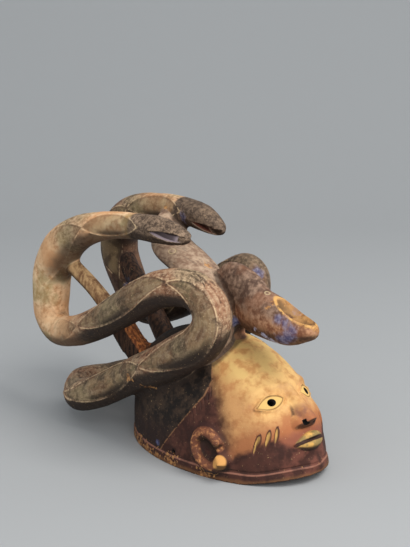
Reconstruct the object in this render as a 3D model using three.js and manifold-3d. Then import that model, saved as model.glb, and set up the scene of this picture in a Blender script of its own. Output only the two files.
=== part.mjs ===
// Carved wooden helmet mask: a hollow head with a cap, two long snakes that loop over it,
// a broad arch between them, two struts and a third animal head above the forehead.
// Millimetres, +Z up, the face towards -Y. The carving is drawn round the middle of the rim
// and moved at the end, so that the origin is on the floor under the middle of the whole.

import * as THREE from 'three'
import { mergeVertices } from 'three/addons/utils/BufferGeometryUtils.js'
import Module from 'manifold-3d'

const wasm = await Module()
wasm.setup()

// Driving dimensions: the head
const RIM_LENGTH = 300
const RIM_WIDTH = 180
const DOME_HEIGHT = 155
const DOME_FULLNESS = 2.4
const CROWN_SET_BACK = 25
const WALL = 12
const LIP_HEIGHT = 14
const LIP_PROUD = 1.5
const CHIN_RISE = 12

// Driving dimensions: the snakes, the arch and the struts
const SNAKE_RADIUS = 23
const SNAKE_SPREAD = 86
const BACK_RADIUS = 27
const NECK_RADIUS = 18
const ARCH_HALF_WIDTH = 32
const ARCH_HALF_DEPTH = 17
const ROD_RADIUS = 11
const POST_RADIUS = 19
const MOUTH_LENGTH = 58
const MOUTH_GAPE = 11
const TONGUE_WIDTH = 8
const COSTUME_HOLE_RADIUS = 3

// Driving dimensions: the face, a general one drawn by rule on a plane that leans back.
// Heights run up that plane from the chin, as shares of the height from chin to crown.
const FACE_LEAN = THREE.MathUtils.degToRad(35)
const FACE_HEIGHT = 196
const CHIN_PLACE = [0, -150, 10]
const EYE_LINE = 0.5 * FACE_HEIGHT
const NOSE_BASE = 0.3 * FACE_HEIGHT
const MOUTH_LINE = 0.2 * FACE_HEIGHT
const EYE_WIDTH = 31
const EYE_OPENING = 17
const EYE_RIM = 2.7
const PUPIL_RADIUS = 4.5
const NOSTRIL_RADIUS = 3
const EAR_HEIGHT = 46
const EAR_WIDTH = 33
const EAR_SET_BACK = 66

const WOOD_BROWN = 0x6f5a45

// How finely things are cut
const DOME_STEPS = 32
const BODY_SIDES = 10
const BODY_STEP = 19

// A closed geometry as a solid that can be joined and cut
function solid(geometry) {
  const bare = geometry.clone()
  bare.deleteAttribute('normal')
  bare.deleteAttribute('uv')
  const merged = mergeVertices(bare, 1e-3)
  const index = merged.index.array
  const kept = []
  for (let i = 0; i < index.length; i += 3) {
    const [a, b, c] = [index[i], index[i + 1], index[i + 2]]
    if (a !== b && b !== c && c !== a) kept.push(a, b, c)
  }
  return new wasm.Manifold(new wasm.Mesh({
    numProp: 3,
    vertProperties: new Float32Array(merged.attributes.position.array),
    triVerts: new Uint32Array(kept),
  }))
}

// A closed skin over a row of rings that all have the same number of points
function skin(rings) {
  const count = rings[0].length
  const points = rings.flat()
  const faces = []
  for (let r = 0; r + 1 < rings.length; r++) {
    for (let k = 0; k < count; k++) {
      const a = r * count + k
      const b = r * count + (k + 1) % count
      faces.push(a, b, b + count, a, b + count, a + count)
    }
  }
  const ends = [[0, 1], [rings.length - 1, -1]]
  for (const [r, turn] of ends) {
    const middle = points.length
    points.push(rings[r].reduce((sum, p) => sum.add(p), new THREE.Vector3()).divideScalar(count))
    for (let k = 0; k < count; k++) {
      const pair = [r * count + k, r * count + (k + 1) % count]
      if (turn > 0) pair.reverse()
      faces.push(pair[0], pair[1], middle)
    }
  }
  const geometry = new THREE.BufferGeometry().setFromPoints(points)
  geometry.setIndex(faces)
  return solid(geometry)
}

// A body that follows a smooth line through stations of [x, y, z, half width, half height].
// The rings are carried along without twist from one that stands upright at the start.
function body(stations, sides = BODY_SIDES, step = BODY_STEP) {
  const line = new THREE.CatmullRomCurve3(stations.map(([x, y, z]) => new THREE.Vector3(x, y, z)))
  line.arcLengthDivisions = 400
  const steps = Math.max(2, Math.round(line.getLength() / step))
  const rings = []
  const up = new THREE.Vector3(0, 0, 1)
  for (let i = 0; i <= steps; i++) {
    const t = line.getUtoTmapping(i / steps)
    const along = t * (stations.length - 1)
    const before = Math.min(Math.floor(along), stations.length - 2)
    const share = along - before
    const size = (k) => THREE.MathUtils.lerp(stations[before][k], stations[before + 1][k], share)
    const middle = line.getPoint(t)
    const tangent = line.getTangent(t)
    up.addScaledVector(tangent, -up.dot(tangent)).normalize()
    const side = new THREE.Vector3().crossVectors(up, tangent)
    const ring = []
    for (let k = 0; k < sides; k++) {
      const turn = 2 * Math.PI * k / sides
      ring.push(middle.clone()
        .addScaledVector(side, size(3) * Math.cos(turn))
        .addScaledVector(up, size(4) * Math.sin(turn)))
    }
    rings.push(ring)
  }
  return skin(rings)
}

const round = (x, y, z, radius) => [x, y, z, radius, radius]

// The head: an egg-shaped dome whose crown is set back from the middle of the rim.
// At each height it is an oval, given by its half width, half length and middle.
function oval(z, inset = 0) {
  const rise = THREE.MathUtils.clamp(z / (DOME_HEIGHT - inset), 0, 1)
  const share = Math.pow(1 - Math.pow(rise, DOME_FULLNESS), 1 / DOME_FULLNESS)
  return {
    halfWidth: (RIM_WIDTH / 2 - inset) * share,
    halfLength: (RIM_LENGTH / 2 - inset) * share,
    middle: CROWN_SET_BACK * Math.pow(rise, 1.5),
  }
}

function ovalRing(z, inset, grow = 0, drop = z) {
  const { halfWidth, halfLength, middle } = oval(z, inset)
  const ring = []
  for (let k = 0; k < DOME_STEPS; k++) {
    const turn = 2 * Math.PI * k / DOME_STEPS
    ring.push(new THREE.Vector3(
      (halfWidth + grow) * Math.sin(turn), middle - (halfLength + grow) * Math.cos(turn), drop))
  }
  return ring
}

// Rows of a dome, close together towards the crown and ending just short of it
function domeRings(rows, inset, lowest) {
  const top = DOME_HEIGHT - inset
  const lastTurn = 0.965 * Math.PI / 2
  const rings = []
  for (let i = 0; i <= rows; i++) {
    rings.push(ovalRing(THREE.MathUtils.lerp(lowest, top, Math.sin(lastTurn * i / rows)), inset))
  }
  return rings
}

function head() {
  const lip = [
    ovalRing(0, 0, LIP_PROUD), ovalRing(0, 0, LIP_PROUD, LIP_HEIGHT - 2), ovalRing(LIP_HEIGHT, 0)]
  return skin([...lip, ...domeRings(12, 0, LIP_HEIGHT + 8)])
}

function hollow() {
  return skin([ovalRing(0, WALL, 0, -5), ...domeRings(8, WALL, 0)])
}

// The point where a line in a given direction leaves the dome
function castOnDome(from, direction) {
  let inside = 0
  let outside = RIM_LENGTH
  for (let i = 0; i < 30; i++) {
    const reach = (inside + outside) / 2
    const p = from.clone().addScaledVector(direction, reach)
    const { halfWidth, halfLength, middle } = oval(p.z)
    const within = p.z < DOME_HEIGHT &&
      (p.x / halfWidth) ** 2 + ((p.y - middle) / halfLength) ** 2 < 1
    if (within) inside = reach
    else outside = reach
  }
  return from.clone().addScaledVector(direction, inside)
}

// The face plane: OUT looks forward and upward, UPWARD runs from the chin to the crown
const OUT = new THREE.Vector3(0, -Math.cos(FACE_LEAN), Math.sin(FACE_LEAN))
const UPWARD = new THREE.Vector3(0, Math.sin(FACE_LEAN), Math.cos(FACE_LEAN))
const SIDEWAYS = new THREE.Vector3(1, 0, 0)

function facePoint(side, up, lift = 0) {
  const chin = new THREE.Vector3(...CHIN_PLACE)
  const start = chin.clone().addScaledVector(OUT, -OUT.dot(chin) + 40)
  start.addScaledVector(UPWARD, up).addScaledVector(SIDEWAYS, side)
  const onSkin = castOnDome(start, OUT)
  return lift ? onSkin.addScaledVector(faceNormal(side, up), lift) : onSkin
}

function faceNormal(side, up) {
  const here = facePoint(side, up)
  const across = facePoint(side + 2, up).sub(here)
  const above = facePoint(side, up + 2).sub(here)
  return across.cross(above).normalize()
}

// A raised form on the face, with stations of [side, up, half width, height above the skin]
function relief(stations, sides = 8) {
  const rings = stations.map(([side, up, halfWidth, height], i) => {
    const before = stations[Math.max(i - 1, 0)]
    const after = stations[Math.min(i + 1, stations.length - 1)]
    const along = facePoint(after[0], after[1]).sub(facePoint(before[0], before[1])).normalize()
    const normal = faceNormal(side, up)
    const across = new THREE.Vector3().crossVectors(normal, along).normalize()
    const middle = facePoint(side, up)
    const ring = []
    for (let k = 0; k < sides; k++) {
      const turn = 2 * Math.PI * k / sides
      ring.push(middle.clone()
        .addScaledVector(across, halfWidth * Math.cos(turn))
        .addScaledVector(normal, height * Math.sin(turn)))
    }
    return ring
  })
  return skin(rings)
}

// A round drill along a direction through a point
function drill(radius, through, direction, length = 60, stretch = 1) {
  const bit = new THREE.CylinderGeometry(radius, radius, length, 10)
  bit.scale(stretch, 1, 1)
  bit.applyQuaternion(new THREE.Quaternion().setFromUnitVectors(new THREE.Vector3(0, 1, 0), direction))
  bit.translate(through.x, through.y, through.z)
  return solid(bit)
}

// An eye: an almond swelling with a raised rim, and a pupil pierced through the wall
function eye(sign) {
  const side = sign * EYE_WIDTH
  const normal = faceNormal(side, EYE_LINE)
  const centre = facePoint(side, EYE_LINE)
  const upward = facePoint(side, EYE_LINE + 5).sub(centre).normalize()
  const across = new THREE.Vector3().crossVectors(upward, normal).normalize()
  const ball = new THREE.SphereGeometry(1, 12, 6)
  ball.scale(EYE_WIDTH / 2 - 2, EYE_OPENING / 2, 6)
  ball.applyMatrix4(new THREE.Matrix4().makeBasis(across, upward, normal).setPosition(centre))
  const count = 16
  const rim = []
  for (let k = 0; k < count; k++) {
    const turn = 2 * Math.PI * k / count
    const pinch = 1 - 0.3 * Math.cos(turn) ** 2
    rim.push(facePoint(
      side + (EYE_WIDTH / 2 + 1.5) * Math.cos(turn),
      EYE_LINE + (EYE_OPENING / 2 + 2) * Math.sin(turn) * pinch, 1))
  }
  const ridge = new THREE.ExtrudeGeometry(new THREE.Shape().absarc(0, 0, EYE_RIM, 0, 2 * Math.PI), {
    steps: count, extrudePath: new THREE.CatmullRomCurve3(rim, true), curveSegments: 2 })
  return { add: [solid(ball), solid(ridge)], cut: [drill(PUPIL_RADIUS, centre, OUT)] }
}

function nose() {
  const bridge = relief([
    [0, EYE_LINE + 14, 5, 3], [0, EYE_LINE, 7, 8], [0, NOSE_BASE + 20, 9, 14],
    [0, NOSE_BASE + 8, 12, 20], [0, NOSE_BASE + 1, 13, 19], [0, NOSE_BASE - 3, 10, 11]], 10)
  const wing = (sign) => relief([
    [sign * 11, NOSE_BASE + 15, 3, 4], [sign * 12, NOSE_BASE + 7, 7, 11],
    [sign * 12, NOSE_BASE, 7, 10], [sign * 10, NOSE_BASE - 3, 4, 6]])
  const nostrils = [-1, 1].map((sign) => drill(
    NOSTRIL_RADIUS, facePoint(sign * 7, NOSE_BASE - 2, 9), UPWARD, 14, 1.4))
  return { add: [bridge, wing(-1), wing(1)], cut: nostrils }
}

function mouth() {
  const half = EYE_WIDTH * 0.75
  const lip = (gap, thick, height) => relief([-1, -0.7, -0.35, 0, 0.35, 0.7, 1].map((share) => [
    share * half, MOUTH_LINE + gap * (1 - share ** 2),
    Math.max(thick * (1 - share ** 4), 0.8), Math.max(height * (1 - 0.85 * share ** 2), 1)]))
  return { add: [lip(5, 4.6, 9), lip(-5, 5, 9)], cut: [] }
}

// An ear: a C-shaped rim on the side of the head, level with the nose, tilted as the face is
function sidePoint(back, up, proud) {
  const onPlane = new THREE.Vector3(...CHIN_PLACE).addScaledVector(UPWARD, up)
  onPlane.addScaledVector(OUT, -back)
  const { halfWidth, halfLength, middle } = oval(onPlane.z)
  const share = THREE.MathUtils.clamp((onPlane.y - middle) / halfLength, -1, 1)
  return new THREE.Vector3(halfWidth * Math.sqrt(1 - share ** 2) + proud, onPlane.y, onPlane.z)
}

function ear(sign) {
  const level = (EYE_LINE + NOSE_BASE) / 2
  const steps = 9
  const stations = []
  for (let i = 0; i <= steps; i++) {
    const turn = THREE.MathUtils.degToRad(185 - 310 * i / steps)
    const place = sidePoint(
      EAR_SET_BACK + EAR_WIDTH / 2 * Math.cos(turn), level + EAR_HEIGHT / 2 * Math.sin(turn), 5)
    const thick = i === steps ? 8 : 6.2
    stations.push([sign * place.x, place.y, place.z, thick, thick])
  }
  return { add: [body(stations, 7, 13)], cut: [] }
}

// Three short slanting cuts on each cheek
function cheekMarks(sign) {
  const cuts = []
  for (let i = 0; i < 3; i++) {
    const from = facePoint(sign * (36 + 8 * i), NOSE_BASE + 12)
    const to = facePoint(sign * (42 + 8 * i), NOSE_BASE - 8)
    const along = to.clone().sub(from)
    cuts.push(drill(1.8, from.clone().lerp(to, 0.5), along.clone().normalize(), along.length()))
  }
  return { add: [], cut: cuts }
}

// The near snake, from the tip of its head over the back, round the coil and down to the loop.
// Stations are [x, y, z, half width, half height], chosen by hand.
const nearHead = [
  [-38, 31, 277, 4, 3], [-38, 37, 278, 11, 8], [-41, 58, 281, 17, 15], [-44, 88, 283, 20, 18],
  [-46, 116, 282, 19, 17], round(-50, 151, 279, NECK_RADIUS)]
const nearBack = [
  round(-54, 190, 271, 20), round(-58, 226, 257, 24), round(-61, 257, 233, BACK_RADIUS + 1),
  round(-63, 278, 197, BACK_RADIUS), round(-65, 280, 166, BACK_RADIUS - 1),
  round(-68, 277, 139, 24), round(-72, 259, 121, 21)]
const nearCoil = [
  round(-78, 214, 128, 21), round(-84, 154, 154, 22), round(-SNAKE_SPREAD, 111, 179, SNAKE_RADIUS),
  round(-SNAKE_SPREAD, 72, 203, 24), round(-84, 37, 222, 24), round(-80, 5, 230, 24)]
const nearBend = [
  round(-76, -19, 229, 24), round(-73, -38, 216, 24), round(-73, -45, 196, 24),
  round(-77, -33, 170, 26)]
const nearBand = [
  round(-81, 2, 146, 26), round(-80, 41, 123, 25),
  round(-77, 83, 102, SNAKE_RADIUS), round(-75, 125, 78, SNAKE_RADIUS),
  round(-78, 162, 57, SNAKE_RADIUS), round(-78, 205, 40, 22), round(-44, 242, 40, 21)]
const loopEnd = (sign) => round(-6 * sign, 248, 35, 19)

// The far snake mirrors it, but its head is held higher and its coil turns further back
const farHead = [
  [34, 43, 274, 4, 4], [34, 50, 276, 11, 9], [35, 66, 281, 16, 14], [38, 88, 286, 19, 18],
  [42, 116, 288, 19, 18], round(46, 150, 288, NECK_RADIUS)]
const farBack = [
  round(48, 182, 285, NECK_RADIUS), round(52, 225, 276, 20), round(57, 258, 259, 24),
  round(62, 281, 234, BACK_RADIUS), round(65, 287, 200, BACK_RADIUS),
  round(66, 272, 166, BACK_RADIUS - 1), round(70, 258, 138, 24), round(74, 243, 122, 21)]
const farCoil = [
  round(80, 206, 130, 21), round(85, 154, 156, 22), round(SNAKE_SPREAD, 112, 180, 22),
  round(82, 73, 205, 22)]
const farBend = [
  round(76, 43, 218, 21), round(72, 25, 212, 20), round(71, 21, 195, 19), round(73, 34, 166, 21)]
const farBand = [
  round(71, 66, 130, 22), round(73, 104, 101, 21), round(77, 150, 69, 21), round(78, 204, 40, 20),
  round(44, 242, 35, 19)]

// The mouth is a pointed slot carved into each side of the head, which leaves a tongue in the middle
function mouthCuts(front, back) {
  const along = new THREE.Vector3(...back).sub(new THREE.Vector3(...front)).normalize()
  const across = new THREE.Vector3().crossVectors(along, new THREE.Vector3(0, 0, 1)).normalize()
  const upward = new THREE.Vector3().crossVectors(across, along)
  const frame = new THREE.Matrix4().makeBasis(along, upward, across)
  frame.setPosition(...front)
  const outline = new THREE.Shape()
  outline.quadraticCurveTo(MOUTH_LENGTH / 2, MOUTH_GAPE, MOUTH_LENGTH, 0)
  outline.quadraticCurveTo(MOUTH_LENGTH / 2, -MOUTH_GAPE, 0, 0)
  const depth = 30
  return [TONGUE_WIDTH / 2, -TONGUE_WIDTH / 2 - depth].map((start) => {
    const slot = new THREE.ExtrudeGeometry(outline, { depth, bevelEnabled: false, curveSegments: 5 })
    slot.translate(0, 0, start)
    slot.applyMatrix4(frame)
    return solid(slot)
  })
}

// The broad arch that carries the snakes' throats and comes down on the crown
function arch() {
  const wide = ARCH_HALF_WIDTH
  const deep = ARCH_HALF_DEPTH
  return body([
    [42, 154, 284, 10, 10], [22, 134, 268, 24, 14], [2, 104, 249, wide, deep], [-4, 70, 237, wide, deep],
    [-12, 34, 222, wide, deep], [-22, 8, 203, wide, deep], [-34, -10, 178, wide, deep],
    [-38, -10, 152, wide - 4, deep], [-30, -4, 128, wide - 8, deep]], 12, 18)
}

// The struts: a round rod that turns into a square post, and a plain leaning bar
function struts() {
  const rod = body([
    round(-60, 264, 222, ROD_RADIUS), round(-50, 208, 185, ROD_RADIUS),
    round(-44, 164, 146, ROD_RADIUS + 1)], 8, 30)
  const post = body([
    round(-45, 172, 153, POST_RADIUS - 4), round(-43, 158, 138, POST_RADIUS),
    round(-34, 112, 88, POST_RADIUS)], 4, 20)
  const bar = body([
    round(62, 280, 204, 12), round(42, 190, 136, 14), round(34, 146, 96, 16)], 8, 30)
  return [rod, post, bar]
}

// The third animal head: a tall neck on a short foot behind the forehead, and a boat-shaped open mouth
function animal() {
  const foot = body([round(5, -2, 146, 14), round(4, -10, 184, 14)], 8, 20)
  const upper = body([
    [5, 9, 192, 14, 28], [4, -8, 208, 16, 43], [3, -28, 208, 19, 36], [-1, -50, 198, 22, 32],
    [-1, -80, 192, 24, 29], [-2, -108, 188, 21, 24], [-2, -130, 189, 17, 16],
    [-2, -143, 190, 12, 11], [-2, -149, 191, 6, 6]], 12, 13)
  return upper.add(foot)
}

const SCOOP_SIZE = [13, 32, 15]
const SCOOP_TURN = 0.38
const SCOOP_MIDDLE = [-2, -116, 212]

function animalMouth() {
  const scoop = new THREE.SphereGeometry(1, 12, 6)
  scoop.scale(...SCOOP_SIZE)
  scoop.rotateX(SCOOP_TURN)
  scoop.translate(...SCOOP_MIDDLE)
  return solid(scoop)
}

// The hole for tying on the costume, through the wall above the rim
function costumeHole() {
  return drill(COSTUME_HOLE_RADIUS, new THREE.Vector3(-80, 7, 18), SIDEWAYS)
}

// The underside of the lip rises a little under the chin, from a line well behind it
function chinRise() {
  const startOfRise = -92
  const run = 80
  const block = new THREE.BoxGeometry(RIM_WIDTH, run, 20)
  block.translate(0, -run / 2, -10)
  block.rotateX(-Math.atan2(CHIN_RISE, 60))
  block.translate(0, startOfRise, 0)
  return solid(block)
}

const nearSnake = body([...nearHead, ...nearBack, ...nearCoil, ...nearBend, ...nearBand, loopEnd(-1)])
const farSnake = body([...farHead, ...farBack, ...farCoil, ...farBend, ...farBand, loopEnd(1)])
const features = [eye(-1), eye(1), nose(), mouth(), ear(-1), ear(1), cheekMarks(-1), cheekMarks(1)]
const joined = [
  ...features.flatMap((feature) => feature.add), nearSnake, farSnake, arch(), ...struts(), animal()]
const taken = [
  ...features.flatMap((feature) => feature.cut),
  ...mouthCuts([-39, 25, 277], [-45, 83, 283]), ...mouthCuts([34, 34, 270], [38, 91, 282]),
  animalMouth(), hollow(), costumeHole(), chinRise()]

let carving = head()
for (const piece of joined) carving = carving.add(piece)
for (const piece of taken) carving = carving.subtract(piece)

const mesh = carving.getMesh()
const geometry = new THREE.BufferGeometry()
geometry.setAttribute('position', new THREE.BufferAttribute(new Float32Array(mesh.vertProperties), 3))
geometry.setIndex(new THREE.BufferAttribute(new Uint32Array(mesh.triVerts), 1))
geometry.computeVertexNormals()
geometry.computeBoundingBox()
const middle = geometry.boundingBox.getCenter(new THREE.Vector3())
geometry.translate(-middle.x, -middle.y, -geometry.boundingBox.min.z)

const mask = new THREE.Mesh(geometry, new THREE.MeshStandardMaterial(
  { color: WOOD_BROWN, roughness: 0.75, metalness: 0 }))
mask.name = 'helmet_mask'

const group = new THREE.Group()
group.add(mask)
export default group
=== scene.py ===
# A carved and painted wooden helmet mask: a hollow head with a cap, two long snakes that loop over it,
# a broad arch and struts between them, and the open-mouthed head of an animal over the forehead.
# Metres, +Z up, the face towards -Y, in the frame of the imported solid.

import math

import bpy
import numpy as np
from mathutils import Matrix, Vector


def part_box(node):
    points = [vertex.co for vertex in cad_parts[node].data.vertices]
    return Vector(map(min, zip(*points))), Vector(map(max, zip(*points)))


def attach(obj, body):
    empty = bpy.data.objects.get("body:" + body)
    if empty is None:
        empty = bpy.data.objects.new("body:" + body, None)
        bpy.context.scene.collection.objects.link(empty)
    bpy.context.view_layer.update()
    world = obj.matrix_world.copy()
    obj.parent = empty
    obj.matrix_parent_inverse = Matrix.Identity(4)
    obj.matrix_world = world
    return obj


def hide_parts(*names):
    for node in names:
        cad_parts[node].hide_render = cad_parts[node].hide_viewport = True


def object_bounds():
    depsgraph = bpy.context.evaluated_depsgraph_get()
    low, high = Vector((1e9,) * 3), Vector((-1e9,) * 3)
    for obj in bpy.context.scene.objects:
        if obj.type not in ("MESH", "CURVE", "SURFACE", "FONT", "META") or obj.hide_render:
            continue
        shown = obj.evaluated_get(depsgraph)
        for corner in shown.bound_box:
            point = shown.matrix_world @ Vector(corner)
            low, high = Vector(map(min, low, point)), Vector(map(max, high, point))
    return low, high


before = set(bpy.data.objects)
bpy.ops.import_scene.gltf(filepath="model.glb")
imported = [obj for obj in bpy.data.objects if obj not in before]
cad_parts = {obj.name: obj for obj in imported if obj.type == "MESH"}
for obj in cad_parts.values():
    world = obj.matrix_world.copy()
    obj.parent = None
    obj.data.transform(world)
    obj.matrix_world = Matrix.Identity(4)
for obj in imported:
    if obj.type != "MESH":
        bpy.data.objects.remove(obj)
solid_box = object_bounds()

# The viewpoint: 1.8 m off the front corner on the near snake's side, looking down by 15 degrees.
# The carving is drawn in millimetres round the middle of its rim, and the camera keeps to that point too.

LIP_FRONT, RIM_OFF_MIDDLE = 151.5, 1.26
VIEW_TURN, VIEW_DOWN = 43.96, 14.79
CAMERA_OFF_RIM = Vector((-1.1801, -1.1801, 0.6743))
FILM_WIDTH, LENS = 36, 90.76
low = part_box("helmet_mask")[0]
rim_middle = Vector((RIM_OFF_MIDDLE / 1000, low.y + LIP_FRONT / 1000, 0.0))

bpy.ops.object.select_all(action="DESELECT")
bpy.ops.object.camera_add(
    location=rim_middle + CAMERA_OFF_RIM,
    rotation=(math.radians(90 - VIEW_DOWN), 0, math.radians(-VIEW_TURN)))
camera = bpy.context.object
camera.name = "camera"
camera.data.sensor_width = FILM_WIDTH
camera.data.lens = LENS
bpy.context.scene.camera = camera
bpy.context.scene.view_settings.view_transform = "Standard"

# The floor: one wide sheet of pale grey card under the mask. It runs back flat along the line of sight and
# turns up in a wide bend behind.

CARD_WIDTH, CARD_LENGTH, CARD_RISE, CARD_BEND = 9, 6, 5, 1.8
bpy.ops.mesh.primitive_plane_add(size=1, location=(0, 0, 0))
floor = bpy.context.object
floor.name = "floor"
floor.scale = (CARD_WIDTH, CARD_LENGTH, 1)
floor.rotation_euler = (0, 0, math.radians(-VIEW_TURN))
bpy.ops.object.transform_apply()
away = Vector((math.sin(math.radians(VIEW_TURN)), math.cos(math.radians(VIEW_TURN)), 0))
bpy.ops.object.mode_set(mode="EDIT")
bpy.ops.mesh.select_all(action="DESELECT")
bpy.ops.object.mode_set(mode="OBJECT")
for edge in floor.data.edges:
    edge.select = all(floor.data.vertices[v].co.dot(away) > CARD_LENGTH / 2 - 0.1 for v in edge.vertices)
bpy.ops.object.mode_set(mode="EDIT")
bpy.ops.mesh.select_mode(type="EDGE")
bpy.ops.mesh.extrude_region_move(TRANSFORM_OT_translate={"value": (0, 0, CARD_RISE)})
bpy.ops.object.mode_set(mode="OBJECT")
fold = floor.modifiers.new("fold", "BEVEL")
fold.width = CARD_BEND
fold.segments = 24
fold.limit_method = "ANGLE"
bpy.ops.object.modifier_apply(modifier="fold")
bpy.ops.object.shade_smooth()

card = bpy.data.materials.new("pale card")
card.use_nodes = True
card_shader = card.node_tree.nodes["Principled BSDF"]
card_shader.inputs["Base Color"].default_value = (0.42, 0.43, 0.435, 1)
card_shader.inputs["Roughness"].default_value = 0.85
floor.data.materials.append(card)

# The light: a wide soft lamp high in front of the face, a weaker one off the near snake's side, and a pale
# sky all round that keeps the shadows open.

LAMP_AIM = Vector((0, 0, 0.12))
bpy.context.scene.world = bpy.data.worlds.new("studio")
bpy.context.scene.world.use_nodes = True
sky = bpy.context.scene.world.node_tree.nodes["Background"]
sky.inputs["Color"].default_value = (0.92, 0.96, 1.0, 1)
sky.inputs["Strength"].default_value = 0.66


def hang_lamp(name, place, size, power, glow):
    bpy.ops.object.light_add(type="AREA", location=place)
    lamp = bpy.context.object
    lamp.name = name
    lamp.data.size = size
    lamp.data.energy = power
    lamp.data.color = glow
    lamp.rotation_euler = (LAMP_AIM - Vector(place)).to_track_quat("-Z", "Y").to_euler()


hang_lamp("key lamp", (0.3, -1.5, 2.3), 1.4, 42, (1.0, 0.98, 0.95))
hang_lamp("fill lamp", (-1.5, -2.1, 1.5), 1.6, 22, (1.0, 0.98, 0.96))

# The carving: one block of wood. Its bodies are drawn one by one, then run together and smoothed as one
# surface, hollowed and cut, and last the fine carving is worked into the skin.
# Stations are [x, y, z, half width, half height] in millimetres, or [x, y, z, radius] on a round body.

RIM_LENGTH, RIM_WIDTH, DOME_HEIGHT = 300, 180, 155
DOME_FULLNESS = 2.4
CROWN_SET_BACK = 25
WALL = 12
LIP_HEIGHT, LIP_PROUD = 14, 1.5
BELOW_RIM = -6


def to_frame(place):
    """A drawn place, in the frame's own metres."""
    return Vector(place) / 1000 + rim_middle


def read_drawn(piece):
    """The places of a mesh's vertices, in millimetres from the middle of the rim."""
    flat = np.empty(len(piece.data.vertices) * 3)
    piece.data.vertices.foreach_get("co", flat)
    return (flat.reshape(-1, 3) - np.array(rim_middle)) * 1000


def write_drawn(piece, places):
    piece.data.vertices.foreach_set("co", (places / 1000 + np.array(rim_middle)).ravel())
    piece.data.update()


def oval(z, inset=0.0):
    """The dome's half width, half length and middle at a height."""
    rise = np.clip(np.asarray(z, float) / (DOME_HEIGHT - inset), 0, 1)
    share = (1 - rise ** DOME_FULLNESS) ** (1 / DOME_FULLNESS)
    return (RIM_WIDTH / 2 - inset) * share, (RIM_LENGTH / 2 - inset) * share, CROWN_SET_BACK * rise ** 1.5


def raise_dome(name, rows):
    """Draws a dome up ring by ring. A row is a height, an inset and how far it stands proud."""
    sizes = [(*(np.array(oval(z, inset)[:2]) + proud), oval(z, inset)[2], z) for z, inset, proud in rows]
    wide, long, middle, z = sizes[0]
    bpy.ops.mesh.primitive_circle_add(vertices=96, radius=1, fill_type="NGON")
    dome = bpy.context.object
    dome.name = name
    dome.scale = (wide / 1000, long / 1000, 1)
    dome.location = to_frame((0, middle, z))
    bpy.ops.object.transform_apply()
    bpy.ops.object.mode_set(mode="EDIT")
    for before, after in zip(sizes, sizes[1:]):
        shift = (0, (after[2] - before[2]) / 1000, (after[3] - before[3]) / 1000)
        bpy.ops.mesh.extrude_region_move(TRANSFORM_OT_translate={"value": shift})
        bpy.ops.transform.resize(
            value=(after[0] / before[0], after[1] / before[1], 1),
            center_override=to_frame((0, after[2], after[3])))
    bpy.ops.mesh.select_all(action="SELECT")
    bpy.ops.mesh.normals_make_consistent(inside=False)
    bpy.ops.object.mode_set(mode="OBJECT")
    return dome


def dome_rows(count, inset, lowest):
    """Rows from the lowest to just short of the top, closer together as the dome turns in."""
    top = DOME_HEIGHT - inset
    rises = [math.sin(0.985 * math.pi / 2 * i / count) for i in range(count + 1)]
    return [(lowest + (top - lowest) * rise, inset, 0) for rise in rises]


lip_rows = [(BELOW_RIM, 0, LIP_PROUD), (LIP_HEIGHT - 2, 0, LIP_PROUD), (LIP_HEIGHT, 0, 0)]
carving = raise_dome("carved_mask", lip_rows + dome_rows(26, 0, LIP_HEIGHT + 4))

# The snakes, the arch between them, the rod, the bar and the animal are round and oval bodies of the same
# block. Each is drawn along a smooth line through its stations, the snakes from their open mouths.


def line_through(stations, step=2.0):
    """Points a couple of millimetres apart on the smooth line through the stations, with the sizes there."""
    given = np.array([(*station, station[-1])[:5] for station in stations], float)
    places = given[:, :3]
    ends = np.vstack([2 * places[0] - places[1], places, 2 * places[-1] - places[-2]])
    rows = []
    for i in range(len(places) - 1):
        a, b, c, d = ends[i:i + 4]
        before, gap, after = [math.sqrt(np.linalg.norm(q - p)) for p, q in ((a, b), (b, c), (c, d))]
        leave = ((b - a) / before - (c - a) / (before + gap) + (c - b) / gap) * gap
        arrive = ((c - b) / gap - (d - b) / (gap + after) + (d - c) / after) * gap
        count = max(2, round(np.linalg.norm(c - b) / step))
        for t in np.arange(count) / count:
            bend = (3 * (c - b) - 2 * leave - arrive) * t ** 2 + (2 * (b - c) + leave + arrive) * t ** 3
            rows.append([*(b + leave * t + bend), *(given[i, 3:] * (1 - t) + given[i + 1, 3:] * t)])
    rows.append(given[-1])
    return np.array(rows)


def unit(rows):
    """The same directions, each one long."""
    return rows / np.maximum(np.linalg.norm(rows, axis=-1, keepdims=True), 1e-9)


def draw_body(name, stations):
    """A tube along the line, drawn with a round pen and then pressed to the height of its stations."""
    line = line_through(stations)
    bpy.ops.curve.primitive_nurbs_path_add()
    tube = bpy.context.object
    tube.name = name
    tube.data.splines.clear()
    spline = tube.data.splines.new("POLY")
    spline.points.add(len(line) - 1)
    for point, row in zip(spline.points, line):
        point.co = (*(to_frame(row[:3]) - tube.location), 1)
        point.radius = row[3] / 1000
    tube.data.bevel_depth = 1
    tube.data.bevel_resolution = 6
    tube.data.use_fill_caps = True
    bpy.ops.object.convert(target="MESH")
    tube = bpy.context.object
    places = read_drawn(tube)
    along = unit(np.gradient(line[:, :3], axis=0))
    off = places[:, None] - line[None, :, :3]
    slip = np.abs((off * along).sum(2)) + np.abs(np.linalg.norm(off, axis=2) - line[:, 3])
    nearest = slip.argmin(1)
    across = np.array([1.0, 0, 0]) - along * along[:, :1]
    upward = np.cross(unit(across), along)[nearest]
    off = places - line[nearest, :3]
    press = (line[nearest, 4] / line[nearest, 3] - 1) * (off * upward).sum(1)
    write_drawn(tube, places + upward * press[:, None])
    return tube


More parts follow.
